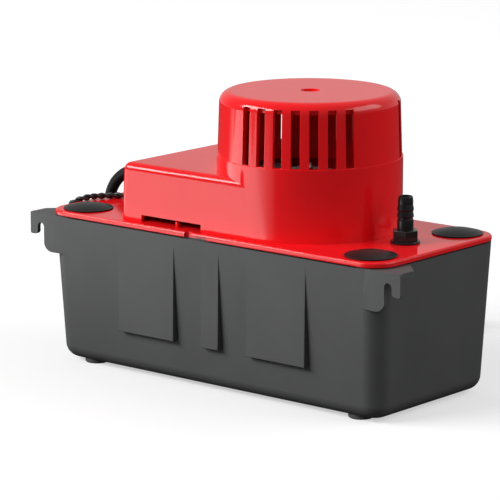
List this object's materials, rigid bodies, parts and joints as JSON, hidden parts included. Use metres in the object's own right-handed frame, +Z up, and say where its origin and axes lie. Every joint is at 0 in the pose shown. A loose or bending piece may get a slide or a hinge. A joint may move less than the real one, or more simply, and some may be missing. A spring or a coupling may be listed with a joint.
{
  "type": "condensate pump",
  "caption": "Tank pump that collects condensate and lifts it through a hose, with a slotted motor cover, float switch, wall hooks and mains cord.",
  "frame": {"origin": "on the floor under the middle of the tank and lid, between the two hooks", "axes": "+X along the long side from the cord end to the hose end, -Y towards the front with the hooks, +Z up"},
  "size_m": [0.3162, 0.2621, 0.192],
  "materials": {
    "tank_grey": "matte",
    "cover_red": "gloss",
    "plug_black": "satin",
    "valve_black": "gloss",
    "pipe_black": "satin",
    "pump_black": "satin",
    "switch_black": "satin",
    "button_red": "satin",
    "impeller_white": "satin",
    "bobbin_white": "satin",
    "float_foam": "matte",
    "coil_tape": "satin",
    "iron_sheet": "satin",
    "cast_aluminium": "cast",
    "zinc_steel": "plated",
    "steel_bright": "ground",
    "brass": "turned",
    "brass_plated": "polished",
    "copper": "bare strands",
    "cord_black": "satin",
    "black_rubber": "matte"
  },
  "bodies": {
    "housing": {"tank": "tank_grey", "tank_cover": "cover_red", "motor_cover": "cover_red", "cover_screws": "zinc_steel", "inlet_plug_front_left": "plug_black", "inlet_plug_front_right": "plug_black", "inlet_plug_rear_left": "plug_black", "inlet_plug_rear_right": "plug_black", "check_valve_body": "valve_black", "check_valve_seal": "black_rubber", "discharge_pipe": "pipe_black", "pump_casing": "pump_black", "pump_plate": "pump_black", "pump_screws": "zinc_steel", "stator_stack": "iron_sheet", "coil_bobbin": "bobbin_white", "motor_coil": "coil_tape", "lower_bracket": "cast_aluminium", "upper_bracket": "cast_aluminium", "lower_bearing": "brass", "upper_bearing": "brass", "motor_bolts": "zinc_steel", "float_hanger": "pump_black", "hanger_screws": "zinc_steel", "float_pin": "steel_bright", "pump_switch": "switch_black", "overflow_switch": "switch_black", "lever_pins": "steel_bright", "switch_frame": "zinc_steel", "switch_screws": "zinc_steel", "frame_screws": "zinc_steel", "strain_relief": "cord_black", "power_cord": "cord_black", "power_cord_coil": "cord_black", "power_cord_tail": "cord_black", "power_plug": "cord_black", "plug_blades": "brass_plated", "leads_grommet": "black_rubber", "switch_leads": "cord_black", "lead_tips": "copper"},
    "rotor": {"motor_shaft": "steel_bright", "rotor_core": "iron_sheet", "rotor_end_rings": "cast_aluminium", "shaft_slinger": "black_rubber", "impeller": "impeller_white", "impeller_nut": "brass"},
    "float_assembly": {"float_arm": "pump_black", "float": "float_foam"},
    "push_rod": {"push_rod": "impeller_white"},
    "pump_lever": {"pump_switch_lever": "steel_bright"},
    "pump_button": {"pump_switch_button": "button_red"},
    "overflow_lever": {"overflow_switch_lever": "steel_bright"},
    "overflow_button": {"overflow_switch_button": "button_red"},
    "valve_ball": {"check_ball": "steel_bright"}
  },
  "joints": [
    {"name": "rotor_spin", "type": "hinge", "parent": "housing", "child": "rotor", "pos_m": [0.031, 0.0035, 0.12], "axis": [0, 0, 1], "continuous": true},
    {"name": "float_hinge", "type": "hinge", "parent": "housing", "child": "float_assembly", "pos_m": [-0.02, 0, 0.086], "axis": [0, 1, 0], "range_deg": [0, 25]},
    {"name": "push_rod_slide", "type": "slide", "parent": "housing", "child": "push_rod", "axis": [0, 0, 1], "range_m": [0, 0.00444]},
    {"name": "pump_lever_hinge", "type": "hinge", "parent": "housing", "child": "pump_lever", "pos_m": [-0.0715, -0.00615, 0.1132], "axis": [0, -1, 0], "range_deg": [0, 6.58]},
    {"name": "overflow_lever_hinge", "type": "hinge", "parent": "housing", "child": "overflow_lever", "pos_m": [-0.0715, 0.00615, 0.1132], "axis": [0, -1, 0], "range_deg": [0, 4.15]},
    {"name": "pump_button_slide", "type": "slide", "parent": "housing", "child": "pump_button", "axis": [0, 0, 1], "range_m": [0, 0.00092]},
    {"name": "overflow_button_slide", "type": "slide", "parent": "housing", "child": "overflow_button", "axis": [0, 0, 1], "range_m": [0, 0.00059]},
    {"name": "valve_ball_slide", "type": "slide", "parent": "housing", "child": "valve_ball", "axis": [0, 0, 1], "range_m": [0, 0.004]}
  ],
  "couplings": [
    {"joint": "push_rod_slide", "follows": "float_hinge", "m_per_rad": 0.010162},
    {"joint": "pump_lever_hinge", "follows": "float_hinge", "ratio": 0.2628},
    {"joint": "overflow_lever_hinge", "follows": "float_hinge", "ratio": 0.1656},
    {"joint": "pump_button_slide", "follows": "float_hinge", "m_per_rad": 0.002086},
    {"joint": "overflow_button_slide", "follows": "float_hinge", "m_per_rad": 0.00133}
  ]
}
